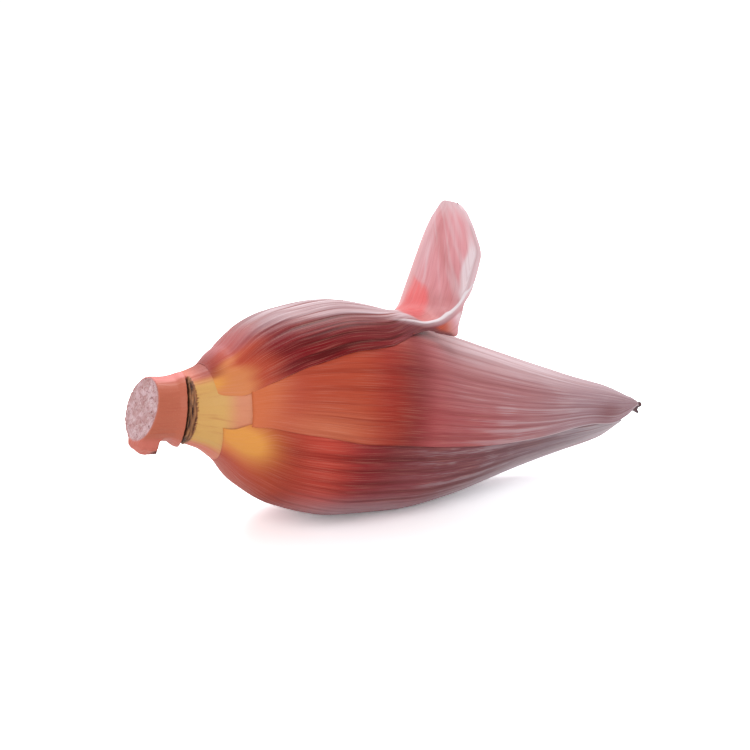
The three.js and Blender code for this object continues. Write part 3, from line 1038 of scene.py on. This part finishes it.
def stem_radius(s, theta):
    angle = wrap(theta)
    past = s - slit_at(theta)
    open_part = fade(68, 80, abs(angle))
    collar = (0.9 + 1.3 * hump(angle, STUB_AT, 26)) * rise(11.5, 15.4, s)
    collar *= fade(-0.4, 0, past) * fade(82, 116, abs(angle))
    slit = -1.5 * rise(-0.5, 0, past) * fade(0.3, 0.8, past)
    ragged = fibre_band(theta) + 1.0 * lumps(theta * 0.3, 0, 2.0)
    band = rise(0, 0.8, past) * fade(ragged - 0.4, ragged + 0.4, past)
    fibres = band * (0.1 + 0.7 * strands(s, theta))
    torn = 7.4 + 1.2 * lumps(theta * 0.14, 0, 5.0)
    stub = 5.6 * exp(-((angle - STUB_AT) / 21) ** 4) * fade(torn, torn + 1.0, s)
    stub *= rise(-5, 5, s) + 0.2 * lumps(theta * 0.12, s * 0.4, 8.0)
    waist = -0.4 * rise(0, 9, s) * fade(9, 20, s)
    grooves = 0.22 * lumps(theta * 0.16, s * 0.05, 3.0)
    added = collar + (slit + fibres) * open_part + stub + waist + grooves
    return core(min(s, BUD_START), theta) + added


# %% [markdown]
# The stem is brown below the slit and blushes on top. Past the slit the neck is a clear
# yellow, where older bracts have kept the light off it, and red under the lifted bract, where
# its shade is painted in.

# %% Tone of the stem's side
def side_tone(s, theta):
    angle = wrap(theta)
    past = s - slit_at(theta)
    top = rise(44, 68, angle) * fade(120, 150, angle)
    bottom = rise(40, 60, -angle) * fade(100, 130, -angle)
    tone = STEM_BROWN.lerp(BLUSH, 0.75 * rise(60, 80, angle) * top + 0.3 * bottom)
    ragged = fibre_band(theta) + 1.2 * lumps(theta * 0.4, 0, 2.0)
    past_slit = rise(ragged - 0.4, ragged + 0.4, past)
    neck = NECK.lerp(srgb(212, 108, 92), 0.9 * max(top, bottom))
    neck = neck.lerp(srgb(214, 136, 102), rise(29, 37, s) * fade(60, 80, abs(angle)))
    # Painted shade on the neck under the base of the lifted bract.
    under_bract = rise(52, 66, angle) * fade(108, 136, angle)
    neck = neck.lerp(srgb(150, 58, 50), 0.85 * rise(17, 26, s) * under_bract)
    tone = tone.lerp(neck, past_slit)
    open_part = fade(66, 78, abs(angle))
    fibre = rise(-0.6, -0.2, past) * (1 - past_slit) * open_part
    strand = min(1, max(0, strands(s, theta)))
    tone = tone.lerp(UMBER.lerp(srgb(172, 116, 76), strand), fibre)
    # The open slit is painted nearly black, as the shade inside it.
    gap = rise(-0.5, -0.1, past) * fade(0.4, 0.9, past)
    tone = tone.lerp(srgb(34, 14, 14), gap * open_part)
    torn = rise(5.5, 7.2, s) * fade(8.6, 9.6, s) * rise(64, 72, -angle)
    return tone.lerp(srgb(96, 48, 40), 0.85 * torn * fade(90, 98, -angle))


# %% Skin of the stem
def stem_skin(u, v):
    s, share = stem_path[round(u * (len(stem_path) - 1))]
    theta = 360 * v - 180
    r = stem_radius(s, theta) * share
    a = radians(theta)
    slant = r * (sin(a) * CUT_TILT + cos(a) * CUT_TURN) * fade(0, 15, s)
    along = s + slant
    pith = fade(STEM_RADIUS - 1, STEM_RADIUS, r) if s == 0 else 0
    if s == 0:
        cells = lumps(r * cos(a) * 0.7, r * sin(a) * 0.7, 6.0)
        along += 0.4 * cells * rise(0, 0.1, 1 - share) - 0.5 * (1 - pith)
    return Skin(place(along, theta, r), 0, side_tone(s, theta), pith, 0,
                (radians(theta) * STEM_RADIUS, s))


# %% [markdown]
# The cut face shows spongy pith: pale cell walls, darker fibre ends and a few open holes.
# Noise is cut off near its middle value for the walls and at its peaks for the holes. The
# stem's `wax` attribute tells pith, 1, from the smooth side, 0.

# %% Side and pith of the stem
def stem_finish():
    skin = Finish("stem_outside")
    along, across = skin.along_and_across()
    tone = skin.attribute("tone", "Color")
    pith = skin.attribute("wax")
    fibre = skin.noise(across * 0.9, along * 0.06, 1.0, detail=3.0)
    speck = skin.noise(across * 1.6, along * 1.6, 6.0)
    colour = skin.blend(tone, srgb(170, 76, 60), skin.step(fibre, 0.5, 0.8) * 0.3)
    colour = skin.blend(colour, srgb(226, 170, 130), skin.step(speck, 0.58, 0.8) * 0.2)

    tissue = skin.solid_noise(0.25, 1.0)
    worms = skin.solid_noise(0.3, 7.0)
    roots = skin.solid_noise(0.3, 12.0)
    pits = skin.solid_noise(0.45, 3.0)
    cut = skin.blend(srgb(192, 148, 148), srgb(214, 178, 182), skin.step(tissue, 0.4, 0.6))
    cut = skin.blend(cut, srgb(160, 100, 98), skin.step(abs(roots - 0.5), 0.04, 0.0) * 0.6)
    line = skin.step(abs(worms - 0.5), 0.03, 0.0)
    cut = skin.blend(cut, srgb(236, 210, 212), line * 0.6)
    hole = skin.step(pits, 0.62, 0.7)
    cut = skin.blend(cut, srgb(130, 74, 74), hole * 0.75)
    colour = skin.blend(colour, cut, pith)
    relief = (fibre + speck * 0.3) * (1 - pith) + (line - hole + tissue) * pith
    return skin.set(Base_Color=colour, Roughness=pith * 0.3 + 0.45, Specular_IOR_Level=0.25,
                    Normal=skin.bump(relief, 0.4, 0.0005))


bm = grid_mesh(len(stem_path) - 1, STEM_SIDES, stem_skin, closed=True)
finished("stem_skin", bm, [stem_finish()], replaces=["stem"])

# %% [markdown]
# ## The bud
# The inner bracts are wrapped so tightly that they are one closed body. Only its tip comes
# out between the outer bracts, with three dried bract ends on it.

# %% Bud
BUD_GRID = (160, 96)
TIP_GRID = (14, 18)
TIP_LOBES = 3


def bud_skin(u, v):
    s = mix(BUD_START + GAP, LENGTH, min(1, u / 0.97) ** 0.9)
    theta = 360 * v
    share = fade(0.97, 1, u)
    rib = ribs(theta / 6, s, 60.0, 3.4, 1.6)
    r = (core(s, theta) + 0.2 * rise(200, 250, s) * rib) * (share if u > 0.001 else 0)
    tone = ROSE.lerp(LILAC, rise(120, 230, s)).lerp(srgb(112, 84, 92), rise(260, 268, s))
    return Skin(place(s, theta, max(0, r)), 0, tone, 0.3, rib, (v * VEIN_WIDTH, s))


def shrivelled(index):
    """One of the dried bract ends that stand out at the very tip."""
    middle = radians(40 + 360 / TIP_LOBES * index)

    def skin(u, v):
        a = tau * v
        crumple = 0.25 * lumps(cos(a) * 2, sin(a) * 2, index * 5 + u * 3)
        width = (mix(2.0, 1.3, u) + crumple) * sqrt(max(0, 1 - (2 * u - 1) ** 6))
        out = 0.6 + 2.6 * u * u + width * 0.7 * cos(a)
        side = width * sin(a)
        point = world(LENGTH - 5 + 6 * u, -out * cos(middle) - side * sin(middle),
                      out * sin(middle) - side * cos(middle) + bow(LENGTH))
        tone = srgb(124, 94, 100).lerp(srgb(74, 52, 58), u)
        return Skin(point, 0, tone, 0, 0, (v * 5, u * 5))

    return skin


bud_outside = bract_skin("bud_outside", 30, 1.2)
finished("bud_skin", grid_mesh(*BUD_GRID, bud_skin, closed=True), [bud_outside],
         replaces=["bud"])
for index in range(TIP_LOBES):
    finished(f"bud_tip_{index + 1}", grid_mesh(*TIP_GRID, shrivelled(index), closed=True),
             [bud_outside])

# %% [markdown]
# ## The florets
# Under each bract lies a hand of young flowers, packed side by side. Where the top bract
# lifts, its hand is only loosely covered. Each floret is a slim closed tube of cream-coloured
# tepals that ends in a blunter, yellower tip.

# %% Florets
FLORETS = 7
FLORET_RADIUS = 2.9
FLORET_START = 50
FLORET_END = 98
FLORET_FIRST = 74  # theta where the hand begins and ends
FLORET_LAST = 128
FLORET_GIRTH = 18  # round a floret, for its UV map
FLORET_GRID = (48, 30)


def floret_skin(index):
    theta = mix(FLORET_FIRST, FLORET_LAST, index / (FLORETS - 1))

    def skin(u, v):
        s = mix(FLORET_START, FLORET_END - 3 * (index % 2), u)
        floor = seat(len(CLOSED), s, theta) + GAP
        w = radians(theta - MIDRIB) * envelope(s)
        edge = max(0, min(lifted_edge(w, s), s - lifted_base(w)))
        roof = lifted_seat(s, theta, edge) - GAP
        shape = FLORET_RADIUS * (0.72 + 0.28 * cos(u * pi * 1.6))
        shape *= rise(-0.12, 0.1, u) * (1 - 0.75 * rise(0.86, 1.04, u))
        half = min(shape, (roof - floor) / 2)
        a = tau * v
        tepals = 1 - 0.07 * abs(sin(2.5 * a)) * rise(0.1, 0.4, u)
        r = half * tepals * (0 if u in (0, 1) else 1)
        centre = floor + half
        across = degrees(r * sin(a) / centre)
        tone = srgb(236, 214, 168).lerp(srgb(232, 178, 110), rise(0.75, 1, u))
        return Skin(place(s, theta + across, centre + r * cos(a)), 0, tone, 0, 0,
                    (v * FLORET_GIRTH, s))

    return skin


def floret_finish():
    skin = Finish("floret_outside")
    along, across = skin.along_and_across()
    line = skin.noise(across * 1.2, along * 0.05, 2.0)
    colour = skin.blend(skin.attribute("tone", "Color"), srgb(214, 150, 130),
                        skin.step(line, 0.5, 0.75) * 0.4)
    return skin.set(Base_Color=colour, Roughness=0.5, Normal=skin.bump(line, 0.3, 0.0003))


floret_outside = floret_finish()
for index in range(FLORETS):
    name = f"floret_{index + 1:02d}"
    bm = grid_mesh(*FLORET_GRID, floret_skin(index), closed=True)
    finished(name + "_skin", bm, [floret_outside], replaces=[name])

# %% [markdown]
# ## Stage, camera and light
# A pale floor and broad soft lamps. Through Light Path the background is white and the floor
# bright only to what sees them directly: shadows still show, and the object gets no extra
# light.

# %% Floor
FLOOR_SIZE = 6
FLOOR_GLOW = 0.12


def floor_finish():
    """A matt floor, a little cool against the red that the blossom throws on it."""
    made = Finish("floor")
    made.set(Base_Color=(0.84, 0.89, 0.9, 1), Roughness=0.9, Specular_IOR_Level=0.0)
    twice = made.node("ShaderNodeAddShader", None, {0: made.shader, 1: made.shader})
    glow = made.node("ShaderNodeEmission", None, {"Color": WHITE, "Strength": FLOOR_GLOW})
    bright = made.node("ShaderNodeAddShader", None, {0: twice, 1: glow})
    seen = made.node("ShaderNodeLightPath", output="Is Camera Ray")
    shown = made.node("ShaderNodeMixShader", None, {0: seen, 1: made.shader, 2: bright})
    made.put(made.surface, shown)
    return made.material


bm = bmesh.new()
bmesh.ops.create_grid(bm, x_segments=1, y_segments=1, size=FLOOR_SIZE)
floor = mesh_object("floor", bm, [floor_finish()])

# %% World
AMBIENT = 0.55

studio = bpy.data.worlds.new("studio")
bpy.context.scene.world = studio
sky = Nodes(studio, "ShaderNodeOutputWorld")
seen = sky.node("ShaderNodeLightPath", output="Is Camera Ray")
for ray in ("Is Glossy Ray", "Is Transmission Ray"):
    other = sky.node("ShaderNodeLightPath", output=ray)
    seen = sky.node("ShaderNodeMath", {"operation": "MAXIMUM"}, {0: seen, 1: other})
ambient = sky.node("ShaderNodeBackground", None, {"Color": WHITE, "Strength": AMBIENT})
white = sky.node("ShaderNodeBackground", None, {"Color": WHITE, "Strength": 1.0})
sky.put(sky.surface, sky.node("ShaderNodeMixShader", None, {0: seen, 1: ambient, 2: white}))
print("light from all round:", AMBIENT)

# %% Lamps
low, high = cad_box
middle = (low + high) / 2


def softbox(name, place_at, size, power):
    lamp = bpy.data.lights.new(name, "AREA")
    lamp.shape = "RECTANGLE"
    lamp.size, lamp.size_y = size
    lamp.energy = power
    holder = linked(name, lamp)
    holder.location = middle + Vector(place_at)
    holder.rotation_euler = (-Vector(place_at)).to_track_quat("-Z", "Y").to_euler()
    print(f"{name} lamp: {power} W")


softbox("key", (0.25, 0.75, 1.1), (1.2, 0.8), 16)
softbox("fill", (-0.9, -1.1, 0.8), (1.0, 1.0), 9)

# %% Camera
VIEW_AZIMUTH = radians(-28)
VIEW_ELEVATION = radians(16)
VIEW_DISTANCE = 0.8282
VIEW_AHEAD = 0.11563  # from the cut face to what is looked at
target = cut_centre + Vector((VIEW_AHEAD, 0, 0))
back = Vector((sin(VIEW_AZIMUTH) * cos(VIEW_ELEVATION),
               -cos(VIEW_AZIMUTH) * cos(VIEW_ELEVATION),
               sin(VIEW_ELEVATION)))
lens = bpy.data.cameras.new("camera")
lens.lens = 85
lens.sensor_width = 36
camera = linked("camera", lens)
camera.location = target + back * VIEW_DISTANCE
camera.rotation_euler = back.to_track_quat("Z", "Y").to_euler()
bpy.context.scene.camera = camera
bpy.context.scene.view_settings.view_transform = "Standard"
print("camera at", [round(c, 3) for c in camera.location])
